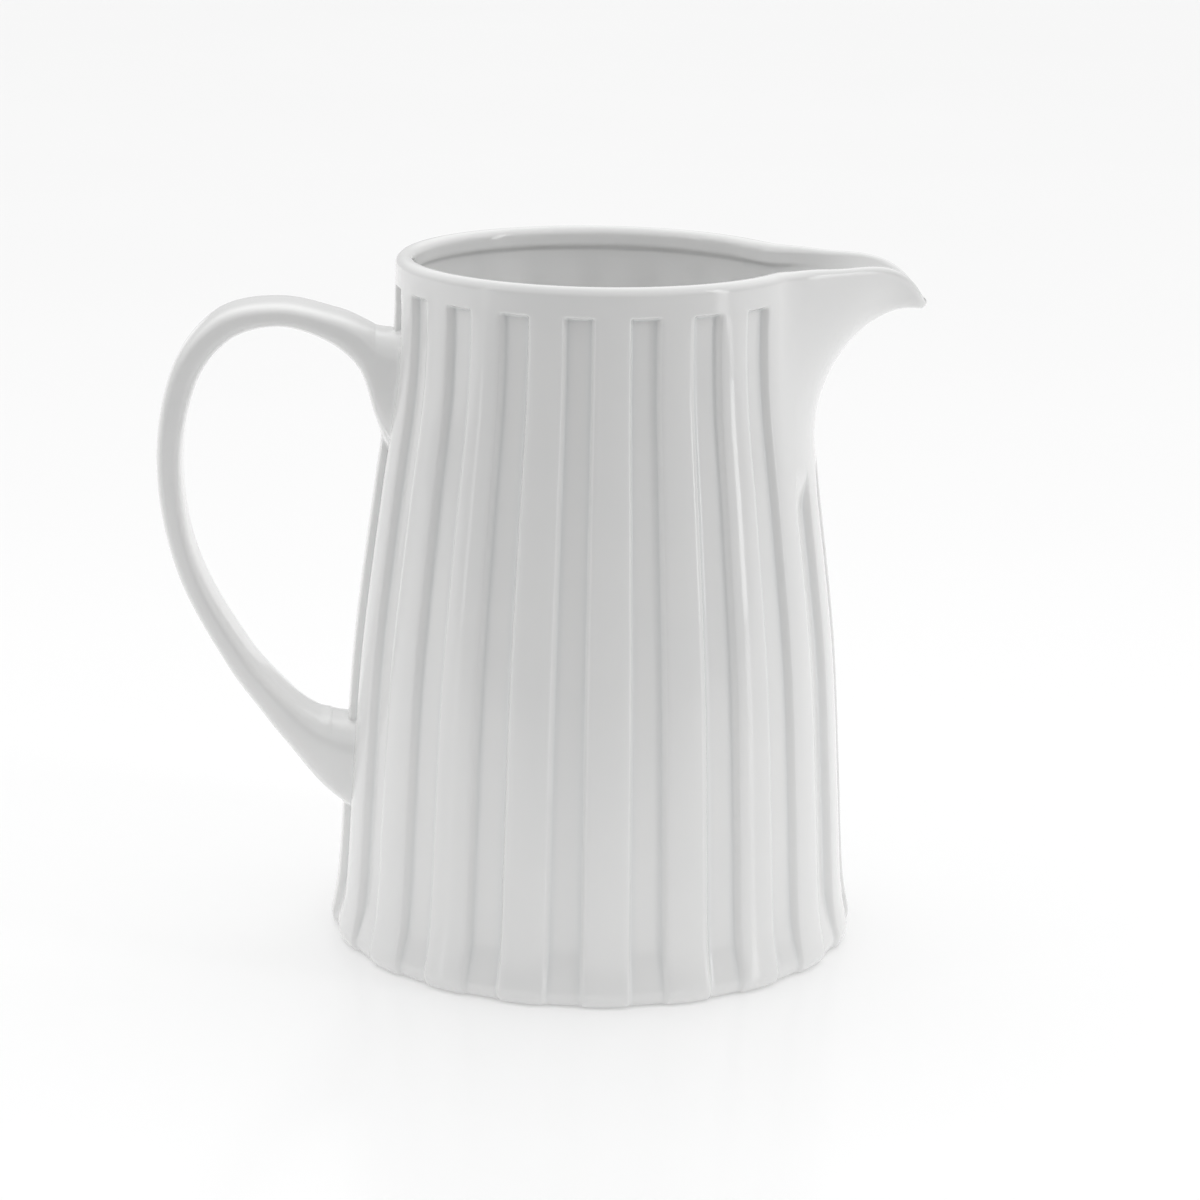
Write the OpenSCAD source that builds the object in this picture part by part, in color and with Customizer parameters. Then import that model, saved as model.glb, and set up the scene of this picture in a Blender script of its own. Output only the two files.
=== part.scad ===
// Glazed porcelain pitcher: a fluted, tapering body with a plain rim band, a pulled
// spout towards +X and a strap handle towards -X. It stands on the plane z = 0, and the
// origin is the centre of its foot.

/* [Body] */
// Overall height, foot to rim crest
height = 180; // [172:1:190]
// Outer radius across the ribs at the foot
foot_r = 70.5; // [69.5:0.5:71.5]
// Outer radius across the ribs at the heel
heel_r = 67.9; // [67.5:0.1:68.5]
// Outer radius across the ribs on the lower body
low_r = 66.2; // [65.6:0.1:67]
// Outer radius across the ribs on the belly
belly_r = 63.4; // [62:0.1:64.6]
// Outer radius across the ribs at the shoulder
shoulder_r = 58.1; // [57:0.1:59.5]
// Outer radius across the ribs at the neck
neck_r = 54; // [53.4:0.1:55]
// Outer radius of the rim band
rim_r = 52.8; // [52.2:0.1:53.6]
// Wall thickness at the rim end of the wall
wall_top_t = 3.8; // [3.4:0.1:4.4]
// Wall thickness at the foot
wall_foot_t = 5; // [4.6:0.1:5.4]
// Thickness of the rounded rim
rim_t = 4.8; // [4.4:0.1:5.4]

/* [Flutes] */
// Number of flutes round the body
flutes = 20; // [18:2:20]
// Depth of a flute below the ribs
flute_d = 2; // [0.8:0.1:2.2]
// Share of that depth left at the foot
foot_relief = 0.5; // [0.4:0.05:1]
// Half angle of a flute's flat floor
floor_half = 3.2; // [2:0.1:3.6]
// Half angle of a flute at its mouth
edge_half = 4.6; // [4:0.1:5]
// How far a rib falls from its centre to its edges
rib_crown = 0.35; // [0:0.05:0.5]
// How far the flutes show through inside
inner_wave = 1.2; // [0:0.1:1.6]

/* [Spout] */
// Reach of the spout beyond the body, less the lip's own roundness
spout_reach = 30.2; // [24:0.2:31]
// How far the beak droops below the rim
spout_droop = 10.7; // [4:0.1:12]
// Half angle of the spout at the rim
spout_half = 34; // [28:1:35]
// Height at which the spout leaves the wall
spout_z = 130; // [128:1:131]
// Lip thickness at the beak
beak_t = 3.2; // [2.6:0.1:4]

/* [Handle] */
// Width of the strap
strap_w = 21.6; // [18:0.2:24]
// Extra width of the strap at its two roots
root_flare = 2.4; // [0:0.2:4]
// Squareness of the strap's section, 2 for an ellipse
strap_power = 3.6; // [2:0.1:4]

/* [Floor and foot] */
// Thickness of the floor
floor_t = 3.6; // [3:0.1:4]
// Height of the foot ring below the floor
foot_h = 2.4; // [1.6:0.1:3]
// Radial width of the foot ring
foot_w = 6; // [4:0.5:8]

/* [Hidden] */
$fn = 96;

pitch = 360 / flutes;
notch_half = 2 * pitch;      // the spout's patch ends on the crest of a rib
ledge_z = height - 7.6;      // top of the wall, where the flutes end under the rim band
lip_z = height - rim_t / 2;  // start of the rim's half round
inner_ledge_z = height - 5.5;
ledge_step = 0.4;            // height of the soft step under the rim inside
heel_z = 14;                 // top of the floor's coved dish
heel_gap = 0.6;              // the wall stops this far above the table
dish_lip = 0.8;              // flat rim of the dish outside its cove
dish_r = heel_r - wall_foot_t + dish_lip;
cove = 7;                    // radius of the cove between floor and wall
foot_soft = 0.7;             // chamfer on the foot ring's two edges
foot_fade = 16;              // the flutes reach their full depth over this height
spout_fade = 12;             // the flutes run out over this height below the spout
crown_fade = 8;              // the ribs flatten over this height below the rim band
edge_z = 4.5;                // height of the wall's rounded lower edge
edge_r = 3.2;                // how far that edge tucks in
keel_round = 14;             // angles over which the spout's underside is rounded, low down
tip_round = 4;               // and at the lip
beak_round = 2.5;            // angle over which the droop is rounded at the tip
beak_half = 14;              // half angle of the drooping part
lip_sink = 0.3;              // keeps the rim level where the lip leans outward
sink_rate = 20;              // how soon that starts beside the spout
reach_curve = 1.9;           // how late the spout leans out as it rises
share_curve = 2;             // how its reach falls off to the sides
droop_curve = 5.5;           // how its droop falls off to the sides
droop_rise = 5;              // how late the droop starts as the spout rises
lean_v = 0.4;                // the wall thickness turns from level to square with the skin
lean_share = 0.2;            // over these parts of the spout's rise and reach
thin_v = 0.8;                // and thins to the beak's over these
thin_share = 0.7;
root_run = 22;               // the strap widens over this length at each root

// Height and radius across the ribs
BODY = [
    [0, foot_r], [heel_z, heel_r], [0.22 * height, low_r], [0.44 * height, belly_r],
    [0.67 * height, shoulder_r], [0.83 * height, neck_r], [ledge_z, rim_r], [height, rim_r],
];

// Strap centreline: x, z, half thickness, and the angle at which the outer face looks
STRAP = [
    [-57.8, 149.6, 11.3, 90], [-61.3, 156.6, 5.8, 84], [-68.5, 161.5, 3.75, 68],
    [-82.5, 165, 3.1, 91], [-96.6, 161.6, 3.7, 124], [-106.7, 148.9, 3.7, 158],
    [-110.9, 125, 3.3, 180], [-106.6, 99, 3, 198], [-94, 74.6, 3.35, 211],
    [-83.1, 60.6, 4.25, 221], [-75.8, 53.1, 6, 243], [-69.2, 47.3, 10.1, 270],
];

// Heights of the wall's grid rows, outside and inside
UPPER_ROOT = [134.5, 141.5, 148.5, 155.5, 162.5];
LOWER_ROOT = [32, 39, 46, 52.5, 59];
WALL_OUT = concat([heel_gap, 1.2, 2.4, edge_z, 9, 15, 23], LOWER_ROOT, [72, 86, 100, 115, spout_z],
    UPPER_ROOT, [166, ledge_z]);
WALL_IN = concat([heel_gap, heel_z, heel_z, 17, 20, 23, 28], LOWER_ROOT, [72, 86, 100, 115, spout_z],
    UPPER_ROOT, [166, ledge_z]);
SEAT_ROWS = 2;               // the inside rows that sit on the floor's dish
COLS_PER_FLUTE = 5;
FLUTE_COLS = [0, pitch / 2 - edge_half, pitch / 2 - floor_half,
    pitch / 2 + floor_half, pitch / 2 + edge_half];
wall_cols = COLS_PER_FLUTE * flutes;
seam_row = search(spout_z, WALL_OUT)[0];

function smooth(x) = let (t = min(1, max(0, x))) t * t * (3 - 2 * t);
function mix(a, b, t) = a + (b - a) * t;
function flatten(list) = [for (part = list) each part];
function polar(r, a, z) = [r * cos(a), r * sin(a), z];
function unit(v) = v / norm(v);

// Smooth curve through the rows of p: column 0 is the parameter and column c the value
function span(p, x, i = 0) = i >= len(p) - 2 || x <= p[i + 1][0] ? i : span(p, x, i + 1);
function slope(p, i, c) =
    let (a = max(0, i - 1), b = min(len(p) - 1, i + 1)) (p[b][c] - p[a][c]) / (p[b][0] - p[a][0]);
function spline(p, x, c = 1) =
    let (i = span(p, x), h = p[i + 1][0] - p[i][0], t = (x - p[i][0]) / h)
    (1 + 2 * t) * pow(1 - t, 2) * p[i][c] + t * t * (3 - 2 * t) * p[i + 1][c]
    + h * t * (1 - t) * ((1 - t) * slope(p, i, c) - t * slope(p, i + 1, c));

// ---- Body surface ----
function body_r(z) = spline(BODY, z);
function wall_t(z) = mix(wall_foot_t, wall_top_t, z / height);
function off_rib(a) = abs((a % pitch + 1.5 * pitch) % pitch - pitch / 2);
function flute_cut(a) = let (from_floor = pitch / 2 - off_rib(a))
    flute_d * min(1, max(0, (edge_half - from_floor) / (edge_half - floor_half)));
function crown_cut(a) = rib_crown * pow(min(1, off_rib(a) / (pitch / 2 - edge_half)), 2);
function under_spout(a) = abs((a + 540) % 360 - 180) < notch_half;
function relief(a, z) = under_spout(a) ? smooth((spout_z - z) / spout_fade) : 1;
function edge_tuck(z) = let (u = 1 - min(1, z / edge_z)) edge_r * (1 - sqrt(1 - u * u));
function at_foot(z) = mix(foot_relief, 1, smooth(z / foot_fade));
function outer_r(a, z) = body_r(z) - edge_tuck(z) - relief(a, z) * at_foot(z) * (flute_cut(a)
    + crown_cut(a) * smooth((ledge_z - z) / crown_fade));
function inner_r(a, z) = body_r(z) - wall_t(z) - inner_wave * off_rib(a) * 2 / pitch * relief(a, z)
    * smooth((z - heel_z) / spout_fade) * smooth((ledge_z - z) / spout_fade);

// ---- Fluted wall ----
function col_angle(i) = pitch * floor(i / COLS_PER_FLUTE) + FLUTE_COLS[i % COLS_PER_FLUTE];
function in_wall(i, j) = j >= 0 && j < len(WALL_OUT) - 1
    && (j < seam_row || !under_spout((col_angle(i) + col_angle(i + 1)) / 2));
function outer_at(i, j) = polar(outer_r(col_angle(i), WALL_OUT[j]), col_angle(i), WALL_OUT[j]);
function inner_at(i, j) = polar(j <= SEAT_ROWS - 1 ? dish_r : inner_r(col_angle(i), WALL_IN[j]),
    col_angle(i), WALL_IN[j]);

module fluted_wall() {
    rows = len(WALL_OUT);
    m = rows * wall_cols;
    points = concat(
        [for (j = [0:rows - 1], i = [0:wall_cols - 1]) outer_at(i, j)],
        [for (j = [0:rows - 1], i = [0:wall_cols - 1]) inner_at(i, j)]);
    faces = flatten([for (j = [0:rows - 2], i = [0:wall_cols - 1])
        let (n = (i + 1) % wall_cols, w = (i + wall_cols - 1) % wall_cols,
            a = j * wall_cols + i, b = j * wall_cols + n, c = b + wall_cols, d = a + wall_cols)
        if (in_wall(i, j)) concat(
            [[a, d, c], [a, c, b], [m + a, m + c, m + d], [m + a, m + b, m + c]],
            in_wall(i, j - 1) ? [] : [[a, b, m + b], [a, m + b, m + a]],
            in_wall(i, j + 1) ? [] : [[c, d, m + d], [c, m + d, m + c]],
            in_wall(w, j) ? [] : [[d, a, m + a], [d, m + a, m + d]],
            in_wall(n, j) ? [] : [[b, c, m + c], [b, m + c, m + b]])]);
    color("whitesmoke") polyhedron(points, faces);
}

// ---- Rim band ----
module rim_band() {
    arc_n = 8;
    wall_in = rim_r - wall_t(ledge_z);
    section = concat(
        [[rim_r, ledge_z], [rim_r, lip_z]],
        [for (k = [1:arc_n - 1]) [rim_r - rim_t / 2 + rim_t / 2 * cos(180 * k / arc_n),
            lip_z + rim_t / 2 * sin(180 * k / arc_n)]],
        [[rim_r - rim_t, lip_z], [rim_r - rim_t, inner_ledge_z + ledge_step],
            [wall_in, inner_ledge_z], [wall_in, ledge_z]]);
    color("whitesmoke") rotate([0, 0, notch_half])
        rotate_extrude(angle = 360 - 2 * notch_half) polygon(section);
}

// ---- Spout ----
// How far an angle is from the spout's centreline, rounded off over a few degrees
function off_axis(a, round_a) = sqrt(a * a + round_a * round_a) - round_a;
function reach_share(a, v) = let (round_a = mix(keel_round, tip_round, v))
    pow(max(0, 1 - off_axis(a, round_a) / off_axis(spout_half, round_a)), share_curve);
function droop_share(a) = pow(max(0, 1 - off_axis(a, beak_round) / beak_half), droop_curve);
function rise(v) = mix(spout_z, lip_z, v);
function spout_skin(a, v) = polar(body_r(rise(v)) + spout_reach * pow(v, reach_curve) * reach_share(a, v), a,
    rise(v) - pow(v, droop_rise) * (spout_droop * droop_share(a)
        + lip_sink * min(1, sink_rate * reach_share(a, 1))));
function spout_normal(a, v) =
    let (e = 0.002, low = max(0, v - e),
        along = unit(spout_skin(a, v + e) - spout_skin(a, low)),
        across = unit(spout_skin(a + 0.05, v) - spout_skin(a - 0.05, v)),
        n = unit(cross(across, along)),
        keep = smooth(v / lean_v) * smooth(reach_share(a, v) / lean_share))
    unit([n[0], n[1], n[2] * keep]);
function spout_t(a, v) =
    let (z = rise(v), step = smooth((z - inner_ledge_z) / ledge_step))
    mix(mix(wall_t(z), rim_t, step), beak_t, smooth(v / thin_v) * smooth(reach_share(a, 1) / thin_share));
function spout_section(a) =
    let (heights = concat([spout_z], UPPER_ROOT, [165, 169, ledge_z, inner_ledge_z],
            [inner_ledge_z + ledge_step, lip_z]),
        levels = [for (z = heights) (z - spout_z) / (lip_z - spout_z)],
        n = spout_normal(a, 1), t = spout_t(a, 1), lip = spout_skin(a, 1),
        up = unit(spout_skin(a, 1) - spout_skin(a, 0.996)), arc_n = 6)
    concat(
        [for (v = levels) spout_skin(a, v)],
        [for (k = [1:arc_n - 1]) lip + t / 2 * ((cos(180 * k / arc_n) - 1) * n + sin(180 * k / arc_n) * up)],
        [for (k = [len(levels) - 1:-1:0])
            let (v = levels[k]) spout_skin(a, v) - spout_t(a, v) * spout_normal(a, v)]);

// Solid through a row of loops, each counterclockwise as seen by what the row moves towards
module loft(loops) {
    n = len(loops[0]);
    last = (len(loops) - 1) * n;
    color("whitesmoke") polyhedron(flatten(loops), concat(
        flatten([for (k = [0:len(loops) - 2], p = [0:n - 1])
            let (a = k * n + p, b = k * n + (p + 1) % n) [[a, a + n, b + n], [a, b + n, b]]]),
        [[for (p = [0:n - 1]) p]],
        [[for (p = [n - 1:-1:0]) last + p]]));
}

module spout() {
    cols = 14;
    loft([for (k = [cols:-1:-cols]) spout_section(sign(k) * notch_half * pow(abs(k) / cols, 1.8))]);
}

// ---- Floor and foot ----
module base_floor() {
    arc_n = 8;
    top_z = foot_h + floor_t;
    cove_r = dish_r - dish_lip - cove;
    color("whitesmoke") rotate_extrude() polygon(concat(
        [[0, foot_h], [dish_r, foot_h], [dish_r, heel_z]],
        [for (k = [0:arc_n]) [cove_r + cove * cos(90 * k / arc_n),
            heel_z - (heel_z - top_z) * sin(90 * k / arc_n)]],
        [[0, top_z]]));
}

module foot_ring() {
    color("linen") rotate_extrude() polygon([
        [dish_r - foot_w, foot_h], [dish_r - foot_w, foot_soft], [dish_r - foot_w + foot_soft, 0],
        [dish_r - foot_soft, 0], [dish_r, foot_soft], [dish_r, foot_h]]);
}

// ---- Handle ----
// The strap's section has 24 points: eight steps on each broad face and four on each edge
BROAD = 8;
EDGE = 4;
SECTION_ANGLES = concat(
    [for (k = [0:BROAD - 1]) -135 + 90 * k / BROAD], [for (k = [0:EDGE - 1]) -45 + 90 * k / EDGE],
    [for (k = [0:BROAD - 1]) 45 + 90 * k / BROAD], [for (k = [0:EDGE - 1]) 135 + 90 * k / EDGE]);
function run(i) = i == 0 ? 0
    : run(i - 1) + norm([STRAP[i][0] - STRAP[i - 1][0], STRAP[i][1] - STRAP[i - 1][1]]);
STRAP_RUN = [for (i = [0:len(STRAP) - 1]) concat([run(i)], STRAP[i])];
strap_len = STRAP_RUN[len(STRAP) - 1][0];
function round_power(c) = sign(c) * pow(abs(c), 2 / strap_power);
function strap_loop(s, turn = 1) =
    let (centre = [spline(STRAP_RUN, s, 1), 0, spline(STRAP_RUN, s, 2)],
        half_t = spline(STRAP_RUN, s, 3), face = spline(STRAP_RUN, s, 4),
        root = pow(1 - min(1, min(s, strap_len - s) / root_run), 2),
        half_w = (strap_w + root_flare * root) / 2)
    [for (a = SECTION_ANGLES) centre + [0, -half_w * round_power(cos(a)), 0]
        + half_t * round_power(sin(turn * a)) * [cos(face), 0, sin(face)]];

module handle() {
    rings = 44;
    loft([for (k = [0:rings]) strap_loop(strap_len * k / rings)]);
}

// ---- Handle joints ----
// A pad of slip: its back is the wall's own grid round the rib at -X, and its front is the strap's end
module root_joint(first_row, strap_end) {
    cols = 2 * EDGE + 1;
    rows = EDGE + 1;
    first_col = wall_cols / 2 - EDGE;
    steps = 4;
    n = len(strap_end);
    back = [for (r = [0:rows - 1], c = [0:cols - 1]) outer_at(first_col + c, first_row + r)];
    rim = concat([for (c = [0:cols - 2]) c], [for (r = [0:rows - 2]) r * cols + cols - 1],
        [for (c = [cols - 1:-1:1]) (rows - 1) * cols + c], [for (r = [rows - 1:-1:1]) r * cols]);
    function id(k, p) = k == 0 ? rim[p] : cols * rows + (k - 1) * n + p;
    rings = [for (k = [1:steps], p = [0:n - 1])
        let (t = k / steps, ease = 1 - pow(1 - t, 2), w = back[rim[p]], h = strap_end[p])
        [mix(w[0], h[0], t), mix(w[1], h[1], ease), mix(w[2], h[2], ease)]];
    color("whitesmoke") polyhedron(concat(back, rings), concat(
        flatten([for (r = [0:rows - 2], c = [0:cols - 2]) let (a = r * cols + c)
            [[a, a + 1, a + cols + 1], [a, a + cols + 1, a + cols]]]),
        flatten([for (k = [0:steps - 1], p = [0:n - 1]) let (q = (p + 1) % n)
            [[id(k, p), id(k + 1, p), id(k + 1, q)], [id(k, p), id(k + 1, q), id(k, q)]]]),
        [[for (p = [n - 1:-1:0]) id(steps, p)]]));
}

module upper_handle_joint() { root_joint(search(UPPER_ROOT[0], WALL_OUT)[0], strap_loop(0)); }
module lower_handle_joint() { root_joint(search(LOWER_ROOT[0], WALL_OUT)[0], strap_loop(strap_len, -1)); }

fluted_wall();
rim_band();
spout();
base_floor();
foot_ring();
handle();
upper_handle_joint();
lower_handle_joint();
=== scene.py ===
"""Ceramic pitcher: finished surfaces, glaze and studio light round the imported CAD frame.

Shapes are worked out in millimetres, in the row's own frame, and written to meshes in metres. Each CAD node
is stood for by one closed mesh of the same name with "_glazed" or "_bare" added.
"""

import math

import bpy
import numpy as np
from mathutils import Matrix, Vector


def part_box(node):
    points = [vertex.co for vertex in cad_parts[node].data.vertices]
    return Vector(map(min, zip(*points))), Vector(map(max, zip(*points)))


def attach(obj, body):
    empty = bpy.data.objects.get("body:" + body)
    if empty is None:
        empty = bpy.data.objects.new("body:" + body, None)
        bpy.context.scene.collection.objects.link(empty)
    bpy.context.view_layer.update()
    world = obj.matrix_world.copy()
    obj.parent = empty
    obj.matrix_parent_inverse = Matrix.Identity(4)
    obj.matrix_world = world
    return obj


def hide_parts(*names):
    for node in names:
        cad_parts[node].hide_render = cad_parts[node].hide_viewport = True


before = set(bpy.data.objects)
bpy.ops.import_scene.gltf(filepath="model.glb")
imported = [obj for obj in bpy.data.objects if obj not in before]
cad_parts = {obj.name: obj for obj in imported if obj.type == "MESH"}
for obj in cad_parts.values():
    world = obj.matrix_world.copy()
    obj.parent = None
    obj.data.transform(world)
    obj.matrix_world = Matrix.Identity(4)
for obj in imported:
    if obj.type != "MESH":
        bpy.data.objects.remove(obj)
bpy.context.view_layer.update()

MM = 0.001


def box_mm(node):
    """Lowest and highest corner of a CAD node, in millimetres."""
    return tuple(np.array(corner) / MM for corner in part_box(node))


# ---------------------------------------------------------------- sizes
WALL_LOW, WALL_HIGH = box_mm("fluted_wall")
RIM_HIGH = box_mm("rim_band")[1]
SPOUT_LOW = box_mm("spout")[0]
DISH_HIGH = box_mm("base_floor")[1]
FOOT_HIGH = box_mm("foot_ring")[1]

HEIGHT = RIM_HIGH[2]
RIM_R = RIM_HIGH[1]
LEDGE_Z = WALL_HIGH[2]           # the flutes end here, under the rim band
HEEL_GAP = WALL_LOW[2]           # the wall starts this far above the table
HEEL_Z = DISH_HIGH[2]            # top of the floor's coved dish
DISH_R = DISH_HIGH[0]
FLOOR_UNDER = FOOT_HIGH[2]
SPOUT_Z = SPOUT_LOW[2]           # the spout leaves the wall here

RIM_T = 4.8
LIP_Z = HEIGHT - RIM_T / 2
INNER_LEDGE_Z = HEIGHT - 5.5
WALL_TOP_T, WALL_FOOT_T = 3.8, 5.0
FLOOR_TOP = FLOOR_UNDER + 3.6
COVE = 7.0
DISH_LIP = 0.8
FOOT_W = 6.0

FLUTES = 20
PITCH = 360 / FLUTES
FLUTE_D = 2.0
FLOOR_HALF, EDGE_HALF = 3.2, 4.6
RIB_CROWN = 0.35
INNER_WAVE = 0.7
SPOUT_FADE = 12.0
CROWN_FADE = 8.0
EDGE_Z, EDGE_R = 4.5, 3.2
FOOT_RELIEF, FOOT_FADE = 0.5, 16.0
NOTCH_HALF = 2 * PITCH           # the spout's patch ends on the crest of a rib
FLUTE_END_Z = LEDGE_Z + 0.6      # the flutes and the ribs' crowns have run out here
LEDGE_SPAN = 1.3
INNER_LEDGE_HALF = 0.9
WAVE_END_Z = INNER_LEDGE_Z - 2   # the flutes' print on the inside has run out here
SEAM_Z = LEDGE_Z + 0.9           # wall and rim band meet on the plain band, just above the flutes

SPOUT_REACH = 30.19
SPOUT_DROOP = 10.7
SPOUT_HALF = 34.0
BEAK_T = 3.2
KEEL_ROUND, TIP_ROUND = 14.0, 4.0
BEAK_ROUND, BEAK_HALF = 3.5, 14.0
LIP_SINK, SINK_SPREAD = 0.3, 20  # the lip sinks a little, and not at all at the spout's sides
REACH_CURVE, REACH_POWER = 1.9, 2     # how the reach grows up the spout, and fades to its sides
DROOP_CURVE, DROOP_POWER = 5, 5.5     # the same for the droop of the beak
LEVEL_V, LEVEL_SHARE = 0.4, 0.2       # from 0 to these the thickness turns from level to square
THIN_V, THIN_SHARE = 0.8, 0.4         # above these the spout is as thin as its beak

STRAP_W = 21.6
ROOT_FLARE = 2.4
ROOT_RUN = 22
STRAP_POWER = 3.6                # roundness of the strap's section, from 2 for an ellipse

FILLET = 1.8
READ_RUN = 0.6                   # the strap's direction at its end is read over this run
SIDE_TURN, TOP_TURN = 0.4, 0.35  # share of the heading kept across, and upright but underneath
AIM_DEPTH = 0.9                  # the strap's skin is carried on to this depth under the ribs
LEAST_INWARD = 0.3               # keeps the steps towards the wall short
EDGE_SINK, SKIN_LIFT = 0.08, 0.03
BACK_DEPTH = 0.8                 # the joint's back lies this deep in the wall
SOFT = 0.35                      # how gently the fillet leaves the skin

SHARP_ANGLE = math.radians(42)

# Height and radius across the ribs
BODY = np.array([
    [0, 70.4], [14, 67.9], [39.6, 66.2], [79.2, 63.4],
    [120.6, 58.1], [149.4, 54], [LEDGE_Z, RIM_R], [HEIGHT, RIM_R],
])
# Strap centreline: x, z, half thickness, and the angle at which the outer face looks
STRAP = np.array([
    [-57.8, 149.6, 11.3, 90], [-61.3, 156.6, 5.8, 84], [-68.5, 161.5, 3.75, 68],
    [-82.5, 165, 3.1, 91], [-96.6, 161.6, 3.7, 124], [-106.7, 148.9, 3.7, 158],
    [-110.9, 125, 3.29, 180], [-106.6, 99, 3, 198], [-94, 74.6, 3.35, 211],
    [-83.1, 60.6, 4.25, 221], [-75.8, 53.1, 6, 243], [-69.2, 47.3, 10.1, 270],
])


# ---------------------------------------------------------------- curves
def smooth(x):
    t = np.clip(x, 0, 1)
    return t * t * (3 - 2 * t)


def mix(a, b, t):
    return a + (b - a) * t


def spline(table, x, column=1):
    """Smooth curve through a table's rows: column 0 is the parameter."""
    x = np.asarray(x, float)
    last = len(table) - 1
    i = np.clip(np.searchsorted(table[:, 0], x) - 1, 0, last - 1)
    before, after = np.maximum(0, np.arange(last + 1) - 1), np.minimum(last, np.arange(last + 1) + 1)
    slope = (table[after, column] - table[before, column]) / (table[after, 0] - table[before, 0])
    h = table[i + 1, 0] - table[i, 0]
    t = (x - table[i, 0]) / h
    return ((1 + 2 * t) * (1 - t) ** 2 * table[i, column] + t * t * (3 - 2 * t) * table[i + 1, column]
            + h * t * (1 - t) * ((1 - t) * slope[i] - t * slope[i + 1]))


def polar(r, a, z):
    """Points from radius, angle in degrees and height."""
    a = np.radians(a)
    r, a, z = np.broadcast_arrays(r, a, z)
    return np.stack([r * np.cos(a), r * np.sin(a), z], -1)


def unit(v):
    return v / np.maximum(np.linalg.norm(v, axis=-1, keepdims=True), 1e-12)


# ---------------------------------------------------------------- body surface
def body_r(z):
    return spline(BODY, z)


def wall_t(z):
    return mix(WALL_FOOT_T, WALL_TOP_T, np.asarray(z, float) / HEIGHT)


def off_rib(a):
    """Degrees from the nearest rib's centre."""
    return np.abs((a + PITCH / 2) % PITCH - PITCH / 2)


def under_spout(a):
    return np.abs((a + 540) % 360 - 180) < NOTCH_HALF


def outer_r(a, z):
    """The fluted outside, from the rounded lower edge to the plain rim band."""
    from_floor = PITCH / 2 - off_rib(a)
    flute = FLUTE_D * smooth((EDGE_HALF - from_floor) / (EDGE_HALF - FLOOR_HALF))
    crown = RIB_CROWN * np.minimum(1, off_rib(a) / (PITCH / 2 - EDGE_HALF)) ** 2
    ledge = smooth((FLUTE_END_Z - z) / LEDGE_SPAN)
    relief = np.where(under_spout(a), smooth((SPOUT_Z - z) / SPOUT_FADE), 1)
    relief = relief * mix(FOOT_RELIEF, 1, smooth(z / FOOT_FADE))
    u = 1 - np.minimum(1, z / EDGE_Z)
    tuck = EDGE_R * (1 - np.sqrt(1 - u * u))
    top = smooth((FLUTE_END_Z - z) / CROWN_FADE)
    return body_r(z) - tuck - relief * (flute * ledge + crown * top)


def past_inner_ledge(z):
    """0 under the ledge inside the rim, 1 above it."""
    return smooth((z - INNER_LEDGE_Z + INNER_LEDGE_HALF) / (2 * INNER_LEDGE_HALF))


def inner_r(a, z):
    """The inside, where the flutes show softly through and fade out below the ledge."""
    relief = np.where(under_spout(a), smooth((SPOUT_Z - z) / SPOUT_FADE), 1)
    wave = INNER_WAVE * (1 - np.cos(np.radians(off_rib(a) * 360 / PITCH))) / 2
    wave = wave * smooth((z - HEEL_Z) / SPOUT_FADE) * smooth((WAVE_END_Z - z) / SPOUT_FADE)
    wall = body_r(z) - wall_t(z) - wave * relief
    return mix(wall, RIM_R - RIM_T, past_inner_ledge(z))


# ---------------------------------------------------------------- spout surface
def off_axis(a, round_a):
    """How far an angle is from the spout's centreline, rounded off over a few degrees."""
    return np.sqrt(a * a + round_a * round_a) - round_a


def reach_share(a, v):
    """Share of the spout's reach at an angle: 1 on its centreline, 0 past its sides."""
    round_a = mix(KEEL_ROUND, TIP_ROUND, v)
    return np.maximum(0, 1 - off_axis(a, round_a) / off_axis(SPOUT_HALF, round_a)) ** REACH_POWER


def rise(v):
    """Height before the lip's droop and sink."""
    return mix(SPOUT_Z, LIP_Z, v)


def spout_skin(a, v):
    """The spout's outside: v goes from 0 at the wall to 1 at the lip."""
    droop = np.maximum(0, 1 - off_axis(a, BEAK_ROUND) / BEAK_HALF) ** DROOP_POWER
    sink = LIP_SINK * np.minimum(1, SINK_SPREAD * reach_share(a, 1))
    radius = body_r(rise(v)) + SPOUT_REACH * v ** REACH_CURVE * reach_share(a, v)
    return polar(radius, a, rise(v) - v ** DROOP_CURVE * (SPOUT_DROOP * droop + sink))


def spout_normal(a, v):
    """Direction of the spout's thickness: square to its skin, but level where it joins the wall."""
    step_v, step_a = 0.002, 0.05
    along = unit(spout_skin(a, v + step_v) - spout_skin(a, np.maximum(0, v - step_v)))
    across = unit(spout_skin(a + step_a, v) - spout_skin(a - step_a, v))
    n = unit(np.cross(across, along))
    keep = smooth(v / LEVEL_V) * smooth(reach_share(a, v) / LEVEL_SHARE)
    n[..., 2] *= keep
    return unit(n)


def spout_t(a, v):
    """Thickness: the wall's and the rim's at the sides, thinner towards the beak."""
    z = rise(v)
    wall = mix(wall_t(z), RIM_T, past_inner_ledge(z))
    return mix(wall, BEAK_T, smooth(v / THIN_V) * smooth(reach_share(a, 1) / THIN_SHARE))


# ---------------------------------------------------------------- handle
STRAP_RUN = np.concatenate([[0], np.cumsum(np.hypot(*np.diff(STRAP[:, :2], axis=0).T))])
STRAP_TABLE = np.column_stack([STRAP_RUN, STRAP])
STRAP_LEN = STRAP_RUN[-1]


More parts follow.
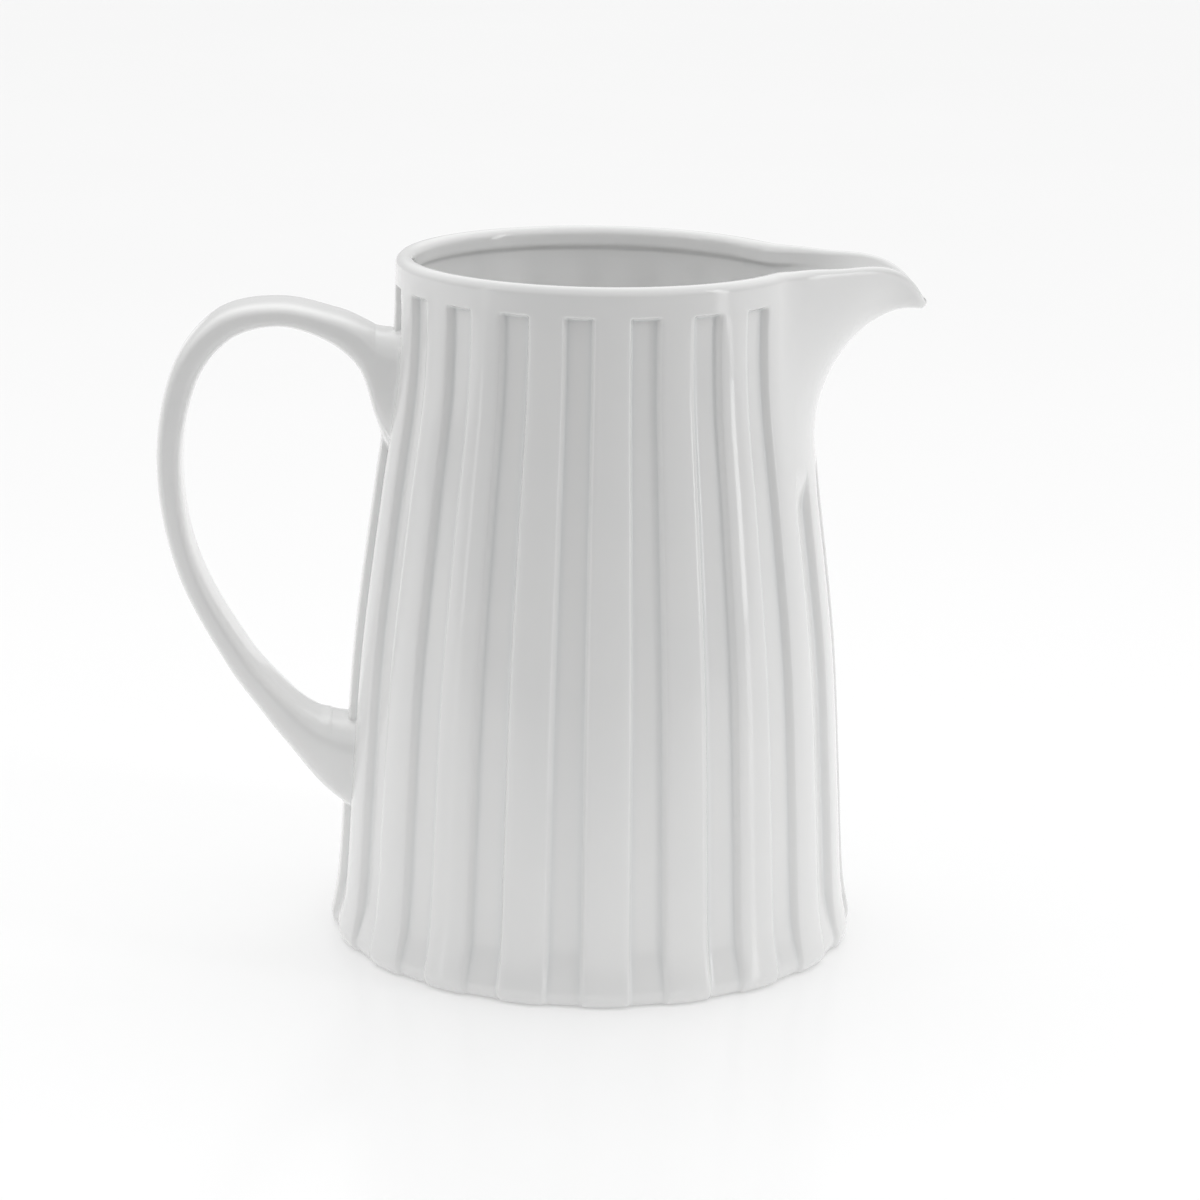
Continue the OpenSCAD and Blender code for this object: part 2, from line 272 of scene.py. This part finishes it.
def strap_point(s, phi):
    """A point of the strap's skin: s is the run from the upper root, phi the turn round the section."""
    s, phi = np.broadcast_arrays(np.asarray(s, float), np.radians(phi))
    face = np.radians(spline(STRAP_TABLE, s, 4))
    root = (1 - np.minimum(1, np.minimum(s, STRAP_LEN - s) / ROOT_RUN)) ** 2
    half_w = (STRAP_W + ROOT_FLARE * root) / 2
    across = -half_w * np.sign(np.cos(phi)) * np.abs(np.cos(phi)) ** (2 / STRAP_POWER)
    out = spline(STRAP_TABLE, s, 3) * np.sign(np.sin(phi)) * np.abs(np.sin(phi)) ** (2 / STRAP_POWER)
    return np.stack([spline(STRAP_TABLE, s, 1) + out * np.cos(face), across,
                     spline(STRAP_TABLE, s, 2) + out * np.sin(face)], -1)


# ---------------------------------------------------------------- meshes
def make_mesh(name, points, faces, node, material):
    """One closed, smooth-shaded piece that stands for a CAD node and rides on the root body."""
    mesh = bpy.data.meshes.new(name)
    mesh.from_pydata((np.asarray(points) * MM).tolist(), [], faces)
    mesh.validate()
    mesh.shade_smooth()
    mesh.set_sharp_from_angle(angle=SHARP_ANGLE)
    piece = bpy.data.objects.new(name, mesh)
    bpy.context.scene.collection.objects.link(piece)
    mesh.materials.append(material)
    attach(piece, "root")
    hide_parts(node)
    return piece


def loft_faces(loops, n, capped=True):
    """Faces over rows of n points, each row closed; capped rows at both ends, or joined end to end."""
    k, p = np.meshgrid(np.arange(loops - 1 if capped else loops), np.arange(n), indexing="ij")
    a, b = k * n + p, k * n + (p + 1) % n
    c, d = ((k + 1) % loops) * n + (p + 1) % n, ((k + 1) % loops) * n + p
    faces = np.stack([a, b, c, d], -1).reshape(-1, 4).tolist()
    if capped:
        faces += [list(range(n - 1, -1, -1)), list(range((loops - 1) * n, loops * n))]
    return faces


def revolve(profile, segments=288):
    """Solid of revolution from a profile that starts and ends on the axis or closes on itself."""
    profile = np.array(profile, float)
    on_axis = profile[0, 0] == 0
    ring = profile[1:-1] if on_axis else profile
    angles = np.arange(segments) * 360 / segments
    points = polar(ring[None, :, 0], angles[:, None], ring[None, :, 1]).reshape(-1, 3)
    n = len(ring)
    k, p = np.meshgrid(np.arange(segments), np.arange(n - 1 if on_axis else n), indexing="ij")
    nk, q = (k + 1) % segments, (p + 1) % n
    faces = np.stack([k * n + p, nk * n + p, nk * n + q, k * n + q], -1).reshape(-1, 4).tolist()
    if on_axis:
        low, high = len(points), len(points) + 1
        points = np.vstack([points, [0, 0, profile[0, 1]], [0, 0, profile[-1, 1]]])
        for i in range(segments):
            j = (i + 1) % segments
            faces += [[low, j * n, i * n], [high, i * n + n - 1, j * n + n - 1]]
    return points, faces


def arc(cx, cz, rx, rz, start, end, steps):
    """Points along an elliptical arc, angles in degrees."""
    t = np.radians(np.linspace(start, end, steps + 1))
    return [(cx + rx * math.cos(x), cz + rz * math.sin(x)) for x in t]


def graded(*stretches):
    """Heights from stretches of (start, end, step), each end shared with the next start."""
    out = [stretches[0][0]]
    for start, end, step in stretches:
        count = max(1, round((end - start) / step))
        out += list(start + (end - start) * np.arange(1, count + 1) / count)
    return np.array(out)


def flute_angles():
    """Angles round the body, close together on the flutes' edges, with one on every rib's centre."""
    half = np.concatenate([
        np.linspace(0, PITCH / 2 - EDGE_HALF, 5)[:-1],
        np.linspace(PITCH / 2 - EDGE_HALF, PITCH / 2 - FLOOR_HALF, 7)[:-1],
        np.linspace(PITCH / 2 - FLOOR_HALF, PITCH / 2, 4),
    ])
    one = np.concatenate([half, PITCH - half[-2:0:-1]])
    return np.concatenate([one + k * PITCH for k in range(FLUTES)])


def fluted_wall(material):
    angles = flute_angles()
    rows_out = graded((HEEL_GAP, EDGE_Z, 0.35), (EDGE_Z, 16, 1.6), (16, SPOUT_Z - SPOUT_FADE, 4.2),
                      (SPOUT_Z - SPOUT_FADE, SPOUT_Z, 1.0), (SPOUT_Z, LEDGE_Z - 1, 4.0),
                      (LEDGE_Z - 1, SEAM_Z, 0.19))
    seam = int(np.argmin(np.abs(rows_out - SPOUT_Z)))
    count = len(rows_out)
    # the inside has as many rows: the seat round the floor's dish, even steps up to the spout's
    # seam, and above the seam the outside's own heights
    seat = 2
    even = graded((HEEL_Z, SPOUT_Z, (SPOUT_Z - HEEL_Z) / (seam - seat)))
    rows_in = np.concatenate([[HEEL_GAP, HEEL_Z], even, rows_out[seam + 1:]])
    rows_in[seam] = SPOUT_Z
    n = len(angles)
    outside = polar(outer_r(angles[None, :], rows_out[:, None]), angles[None, :], rows_out[:, None])
    r_in = inner_r(angles[None, :], rows_in[:, None])
    r_in[:seat] = DISH_R
    inside = polar(r_in, angles[None, :], rows_in[:, None])
    mid = (angles + np.roll(angles, -1)) / 2
    mid[-1] = (angles[-1] + 360) / 2
    # cells of the wall that exist: the spout's patch is left out above the seam
    solid = np.ones((count - 1, n), bool)
    solid[seam:, under_spout(mid)] = False
    m = count * n
    faces = []
    for j, i in zip(*np.nonzero(solid)):
        e, w = (i + 1) % n, (i - 1) % n
        a, b = j * n + i, j * n + e
        c, d = b + n, a + n
        faces += [[a, b, c, d], [m + a, m + d, m + c, m + b]]
        if j == 0:
            faces.append([b, a, m + a, m + b])
        if j == count - 2 or not solid[j + 1, i]:
            faces.append([d, c, m + c, m + d])
        if not solid[j, w]:
            faces.append([a, d, m + d, m + a])
        if not solid[j, e]:
            faces.append([c, b, m + b, m + c])
    points = np.vstack([outside.reshape(-1, 3), inside.reshape(-1, 3)])
    used = np.unique(np.concatenate([np.ravel(f) for f in faces]))
    renumber = np.zeros(len(points), int)
    renumber[used] = np.arange(len(used))
    faces = [[int(renumber[x]) for x in f] for f in faces]
    return make_mesh("fluted_wall_glazed", points[used], faces, "fluted_wall", material)


def rim_band(material):
    angles = flute_angles()
    angles = angles[(angles >= NOTCH_HALF) & (angles <= 360 - NOTCH_HALF)]
    up = graded((SEAM_Z, LIP_Z, 0.5))
    down = graded((SEAM_Z, INNER_LEDGE_Z - 0.5, 0.3), (INNER_LEDGE_Z - 0.5, INNER_LEDGE_Z + 0.5, 0.1),
                  (INNER_LEDGE_Z + 0.5, LIP_Z, 0.5))[::-1]
    crest = np.array(arc(RIM_R - RIM_T / 2, LIP_Z, RIM_T / 2, RIM_T / 2, 0, 180, 24)[1:-1])
    a = angles[:, None]
    rows = [polar(outer_r(a, up[None, :]), a, up[None, :]),
            polar(np.broadcast_to(crest[None, :, 0], (len(angles), len(crest))), a, crest[None, :, 1]),
            polar(inner_r(a, down[None, :]), a, down[None, :])]
    loops = np.concatenate(rows, axis=1)
    faces = [f[::-1] for f in loft_faces(len(loops), loops.shape[1])]
    return make_mesh("rim_band_glazed", loops.reshape(-1, 3), faces, "rim_band", material)


def spout(material):
    cols, crowding = 96, 1.5     # the columns stand closest together at the beak
    k = np.arange(-cols, cols + 1)
    angles = np.sign(k) * NOTCH_HALF * (np.abs(k) / cols) ** crowding
    heights = graded((SPOUT_Z, 160, 1.2), (160, INNER_LEDGE_Z - 0.5, 0.8),
                     (INNER_LEDGE_Z - 0.5, INNER_LEDGE_Z + 0.5, 0.12), (INNER_LEDGE_Z + 0.5, LIP_Z, 0.3))
    v = (heights - SPOUT_Z) / (LIP_Z - SPOUT_Z)
    a, w = angles[:, None], v[None, :]
    outside = spout_skin(a, w)
    inside = outside - spout_t(a, w)[..., None] * spout_normal(a, w)
    one = np.ones((1, 1))
    lip, n, t = spout_skin(a, one), spout_normal(a, one), spout_t(a, one)[..., None]
    just_under = 0.996
    up = unit(lip - spout_skin(a, one * just_under))
    turn = np.radians(np.linspace(0, 180, 25)[1:-1])[None, :, None]
    crest = lip + t / 2 * ((np.cos(turn) - 1) * n + np.sin(turn) * up)
    loops = np.concatenate([outside, crest, inside[:, ::-1]], axis=1)
    faces = [f[::-1] for f in loft_faces(len(loops), loops.shape[1])]
    return make_mesh("spout_glazed", loops.reshape(-1, 3), faces, "spout", material)


def base_floor(material):
    cove_r = DISH_R - DISH_LIP - COVE
    ease = 1.2
    profile = [(0, FLOOR_UNDER + 0.5), (20, FLOOR_UNDER + 0.48), (40, FLOOR_UNDER + 0.3)]
    profile += arc(DISH_R - FOOT_W - ease, FLOOR_UNDER + ease, ease, ease, 250, 270, 2)
    profile += [(DISH_R, FLOOR_UNDER), (DISH_R, HEEL_Z)]
    profile += arc(cove_r, HEEL_Z, COVE, HEEL_Z - FLOOR_TOP, 0, -90, 20)
    profile += [(cove_r * share, FLOOR_TOP) for share in (0.75, 0.5, 0.25, 0)]
    points, faces = revolve(profile)
    return make_mesh("base_floor_glazed", points, faces, "base_floor", material)


def foot_ring(material):
    inner, outer, soft = DISH_R - FOOT_W, DISH_R, 0.7
    profile = [(outer, FLOOR_UNDER), (inner, FLOOR_UNDER)]
    profile += arc(inner + soft, soft, soft, soft, 180, 270, 8)
    profile += arc(outer - soft, soft, soft, soft, 270, 360, 8)
    points, faces = revolve(profile)
    return make_mesh("foot_ring_bare", points, faces, "foot_ring", material)


def handle(material):
    rings, turns = 240, 96
    s = np.linspace(0, STRAP_LEN, rings + 1)
    phi = np.arange(turns) * 360 / turns
    loops = strap_point(s[:, None], phi[None, :])
    faces = loft_faces(rings + 1, turns)
    return make_mesh("handle_glazed", loops.reshape(-1, 3), faces, "handle", material)


def root_joint(name, node, material, at_start, under_fillet):
    """Slip fillet from the strap's end onto the fluted wall."""
    turns, steps = 144, 26
    phi = np.arange(turns) * 360 / turns
    s0, s1 = (0.0, READ_RUN) if at_start else (STRAP_LEN, STRAP_LEN - READ_RUN)
    ring, further = strap_point(s0, phi), strap_point(s1, phi)
    middle = ring.mean(0)
    # 1 on the strap's underside, 0 on its sides and top
    under = smooth(-unit((ring - middle) * [0, 1, 1])[:, 2])
    heading = unit(ring - further)
    kept = np.stack([np.ones(turns), np.full(turns, SIDE_TURN), mix(TOP_TURN, 1, under)], -1)
    heading = unit(heading * kept)
    # where each line of the strap's skin, carried on, meets the wall
    reach = np.zeros(turns)
    for _ in range(12):
        corner = ring + heading * reach[:, None]
        gap = np.hypot(corner[:, 0], corner[:, 1]) - (body_r(corner[:, 2]) - AIM_DEPTH)
        reach += gap / np.maximum(LEAST_INWARD, heading[:, 0])
    corner = ring + heading * reach[:, None]
    outward = corner - middle
    outward[:, 0] = 0
    outward = unit(outward)
    edge = corner + outward * mix(FILLET, under_fillet, under)[:, None]
    angle = np.degrees(np.arctan2(edge[:, 1], edge[:, 0])) % 360
    edge = polar(outer_r(angle, edge[:, 2]) - EDGE_SINK, angle, edge[:, 2])
    t = np.linspace(0, 1, steps + 1)[:, None, None]
    curve = (1 - t) ** 2 * ring + 2 * t * (1 - t) * corner + t * t * edge
    # the fillet stays on the wall's skin or above it, and only its edge sinks in a little
    a = np.degrees(np.arctan2(curve[..., 1], curve[..., 0])) % 360
    r = np.hypot(curve[..., 0], curve[..., 1])
    run = t[..., 0]
    skin_r = outer_r(a, curve[..., 2]) - EDGE_SINK * run ** 4 + SKIN_LIFT * (1 - run)
    lifted = skin_r + SOFT * np.log1p(np.exp(np.clip((r - skin_r) / SOFT, -40, 40)))
    near_skin = mix(np.maximum(r, skin_r), lifted, 2 * (1 - run) * run)
    r = np.where(r - skin_r > 8 * SOFT, r, near_skin)
    curve = polar(r, a, curve[..., 2])
    curve[0], curve[-1] = ring, edge
    back = polar(outer_r(angle, edge[:, 2]) - BACK_DEPTH, angle, edge[:, 2])
    loops = np.concatenate([curve, back[None]], axis=0)
    faces = loft_faces(len(loops), turns)
    if at_start:
        faces = [f[::-1] for f in faces]
    return make_mesh(name, loops.reshape(-1, 3), faces, node, material)


# ---------------------------------------------------------------- materials
GLAZE_COOL, GLAZE_WARM = (0.928, 0.930, 0.926), (0.942, 0.942, 0.936)
GLAZE_POOLED = (0.89, 0.903, 0.903)
BARE_DARK, BARE_LIGHT = (0.66, 0.64, 0.60), (0.76, 0.745, 0.71)
BARE_STAIN = (0.55, 0.53, 0.50)
TABLE_WHITE, TABLE_WHITER = (0.86, 0.86, 0.86), (0.87, 0.87, 0.87)
# painted shade: the table is grey towards the camera, standing in for the dark studio side there; the Y
# limits below say where
TABLE_SHADE_GREY = (0.16, 0.16, 0.16)
PALE_Y, DULL_Y, SHADE_GREY_Y = -0.18, -0.50, -0.80     # metres: still white, glow gone, fully grey
GLOW = 0.19


def new_material(name):
    material = bpy.data.materials.new(name)
    material.use_nodes = True
    tree = material.node_tree
    return material, tree, tree.nodes["Principled BSDF"]


def noise(tree, scale, detail, roughness=0.5):
    """Noise in the row's own metres, so that its grain keeps its real size."""
    place = tree.nodes.new("ShaderNodeTexCoord")
    grain = tree.nodes.new("ShaderNodeTexNoise")
    grain.inputs["Scale"].default_value = scale
    grain.inputs["Detail"].default_value = detail
    grain.inputs["Roughness"].default_value = roughness
    tree.links.new(place.outputs["Object"], grain.inputs["Vector"])
    return grain.outputs["Fac"]


def remap(tree, value, low_in, high_in, low_out, high_out):
    node = tree.nodes.new("ShaderNodeMapRange")
    sockets = ("From Min", "From Max", "To Min", "To Max")
    for socket, number in zip(sockets, (low_in, high_in, low_out, high_out)):
        node.inputs[socket].default_value = number
    tree.links.new(value, node.inputs["Value"])
    return node.outputs["Result"]


def blend_colour(tree, factor, first, second):
    node = tree.nodes.new("ShaderNodeMix")
    node.data_type = "RGBA"
    tree.links.new(factor, node.inputs["Factor"])
    for socket, colour in (("A", first), ("B", second)):
        target = [s for s in node.inputs if s.name == socket and s.type == "RGBA"][0]
        if isinstance(colour, tuple):
            target.default_value = (*colour, 1)
        else:
            tree.links.new(colour, target)
    return [s for s in node.outputs if s.type == "RGBA"][0]


def bump(tree, height, distance, strength, after=None):
    node = tree.nodes.new("ShaderNodeBump")
    node.inputs["Distance"].default_value = distance
    node.inputs["Strength"].default_value = strength
    tree.links.new(height, node.inputs["Height"])
    if after is not None:
        tree.links.new(after, node.inputs["Normal"])
    return node.outputs["Normal"]


def glaze():
    """Clear gloss glaze over white porcelain."""
    material, tree, skin = new_material("glaze")
    cloud = remap(tree, noise(tree, scale=38, detail=2), 0.35, 0.65, 0, 1)
    colour = blend_colour(tree, cloud, GLAZE_COOL, GLAZE_WARM)
    geometry = tree.nodes.new("ShaderNodeNewGeometry")
    hollow = remap(tree, geometry.outputs["Pointiness"], 0.46, 0.50, 1, 0)
    colour = blend_colour(tree, hollow, colour, GLAZE_POOLED)
    tree.links.new(colour, skin.inputs["Base Color"])
    dulling = remap(tree, noise(tree, scale=900, detail=2), 0.3, 0.7, 0.10, 0.16)
    tree.links.new(dulling, skin.inputs["Roughness"])
    skin.inputs["IOR"].default_value = 1.5
    skin.inputs["Coat Weight"].default_value = 0.6
    skin.inputs["Coat Roughness"].default_value = 0.04
    slow = noise(tree, scale=70, detail=2, roughness=0.4)
    wave = bump(tree, slow, distance=0.0004, strength=0.35)
    fine = noise(tree, scale=1400, detail=1)
    pits = bump(tree, fine, distance=0.00003, strength=0.25, after=wave)
    tree.links.new(pits, skin.inputs["Normal"])
    return material


def bisque():
    """Bare, sanded porcelain where the foot was wiped clean."""
    material, tree, skin = new_material("bisque")
    grain = noise(tree, scale=2600, detail=4, roughness=0.7)
    stain = remap(tree, noise(tree, scale=160, detail=4, roughness=0.6), 0.45, 0.75, 0, 1)
    colour = blend_colour(tree, grain, BARE_DARK, BARE_LIGHT)
    tree.links.new(blend_colour(tree, stain, colour, BARE_STAIN), skin.inputs["Base Color"])
    tree.links.new(remap(tree, grain, 0.3, 0.7, 0.75, 0.95), skin.inputs["Roughness"])
    tree.links.new(bump(tree, grain, distance=0.00012, strength=0.7), skin.inputs["Normal"])
    return material


def floor_material():
    """White table with a weak painted glow; towards the camera the white turns to a grey painted shade that
    stands in for the dark studio side, and the glow ends.
    """
    material, tree, skin = new_material("pale_floor")
    place = tree.nodes.new("ShaderNodeTexCoord")
    split = tree.nodes.new("ShaderNodeSeparateXYZ")
    tree.links.new(place.outputs["Object"], split.inputs["Vector"])
    soft = remap(tree, noise(tree, scale=3, detail=2), 0.3, 0.7, 0, 1)
    pale = blend_colour(tree, soft, TABLE_WHITE, TABLE_WHITER)
    # painted shade: 1 where the table is fully grey near the camera, 0 where it is still white
    painted_shade = remap(tree, split.outputs["Y"], SHADE_GREY_Y, PALE_Y, 1, 0)
    tree.links.new(blend_colour(tree, painted_shade, pale, TABLE_SHADE_GREY), skin.inputs["Base Color"])
    skin.inputs["Roughness"].default_value = 0.2
    skin.inputs["IOR"].default_value = 1.5
    skin.inputs["Emission Color"].default_value = (1, 1, 1, 1)
    glow = remap(tree, split.outputs["Y"], DULL_Y, PALE_Y, 0, GLOW)
    tree.links.new(glow, skin.inputs["Emission Strength"])
    return material


# ---------------------------------------------------------------- scene
def camera():
    """The photograph's eye: above the rim, looking down, and a little to the handle's side."""
    distance, eye_z = 0.8808, 0.3184
    turn, pitch, roll = math.radians(3.5), math.radians(14.64), math.radians(0.923)
    data = bpy.data.cameras.new("camera")
    data.lens, data.sensor_width = 103.57, 36
    data.shift_x = 0.0039
    data.clip_start, data.clip_end = 0.05, 50
    eye = bpy.data.objects.new("camera", data)
    bpy.context.scene.collection.objects.link(eye)
    level = math.cos(pitch)
    forward = Vector((math.sin(turn) * level, math.cos(turn) * level, -math.sin(pitch)))
    right = Vector((math.cos(turn), -math.sin(turn), 0))
    up = right.cross(forward)
    look = Matrix((right, up, -forward)).transposed().to_4x4() @ Matrix.Rotation(roll, 4, "Z")
    look.translation = (-distance * math.sin(turn), -distance * math.cos(turn), eye_z)
    eye.matrix_world = look
    bpy.context.scene.camera = eye


def panel(name, place, target, width, height, power):
    """A soft box that faces a point."""
    data = bpy.data.lights.new(name, "AREA")
    data.shape, data.size, data.size_y, data.energy = "RECTANGLE", width, height, power
    light = bpy.data.objects.new(name, data)
    bpy.context.scene.collection.objects.link(light)
    light.location = place
    light.rotation_euler = (Vector(target) - Vector(place)).to_track_quat("-Z", "Y").to_euler()


def surroundings():
    """White studio: bright above and behind, dark where the camera stands."""
    world = bpy.data.worlds.new("studio")
    bpy.context.scene.world = world
    world.use_nodes = True
    tree = world.node_tree
    background = tree.nodes["Background"]
    background.inputs["Color"].default_value = (1, 1, 1, 1)
    place = tree.nodes.new("ShaderNodeTexCoord")
    split = tree.nodes.new("ShaderNodeSeparateXYZ")
    tree.links.new(place.outputs["Generated"], split.inputs["Vector"])
    # low down the light comes from behind the jug, and overhead from all round
    low = remap(tree, split.outputs["Y"], -0.35, 0.45, 0.08, 0.66)
    overhead = remap(tree, split.outputs["Y"], -0.6, 0.6, 0.88, 1.16)
    above = remap(tree, split.outputs["Z"], 0.22, 0.55, 0, 1)
    total = tree.nodes.new("ShaderNodeMix")
    tree.links.new(above, total.inputs["Factor"])
    tree.links.new(low, total.inputs["A"])
    tree.links.new(overhead, total.inputs["B"])
    tree.links.new(total.outputs["Result"], background.inputs["Strength"])
    panel("left_strip", (-1.3, -0.5, 0.6), (0, 0, 0.3), 0.12, 1.2, 0.5)
    panel("right_strip", (1.4, -0.6, 0.6), (0, 0, 0.3), 0.22, 1.2, 2.3)


def floor(material):
    mesh = bpy.data.meshes.new("studio_floor")
    half = 8
    corners = [(-half, -half, 0), (half, -half, 0), (half, half, 0), (-half, half, 0)]
    mesh.from_pydata(corners, [], [(0, 1, 2, 3)])
    plane = bpy.data.objects.new("studio_floor", mesh)
    bpy.context.scene.collection.objects.link(plane)
    mesh.materials.append(material)


camera()
surroundings()
floor(floor_material())
GLAZE = glaze()
fluted_wall(GLAZE)
rim_band(GLAZE)
spout(GLAZE)
base_floor(GLAZE)
foot_ring(bisque())
handle(GLAZE)
root_joint("upper_handle_joint_glazed", "upper_handle_joint", GLAZE, at_start=True, under_fillet=2.4)
root_joint("lower_handle_joint_glazed", "lower_handle_joint", GLAZE, at_start=False, under_fillet=1.2)
bpy.context.scene.view_settings.view_transform = "Standard"
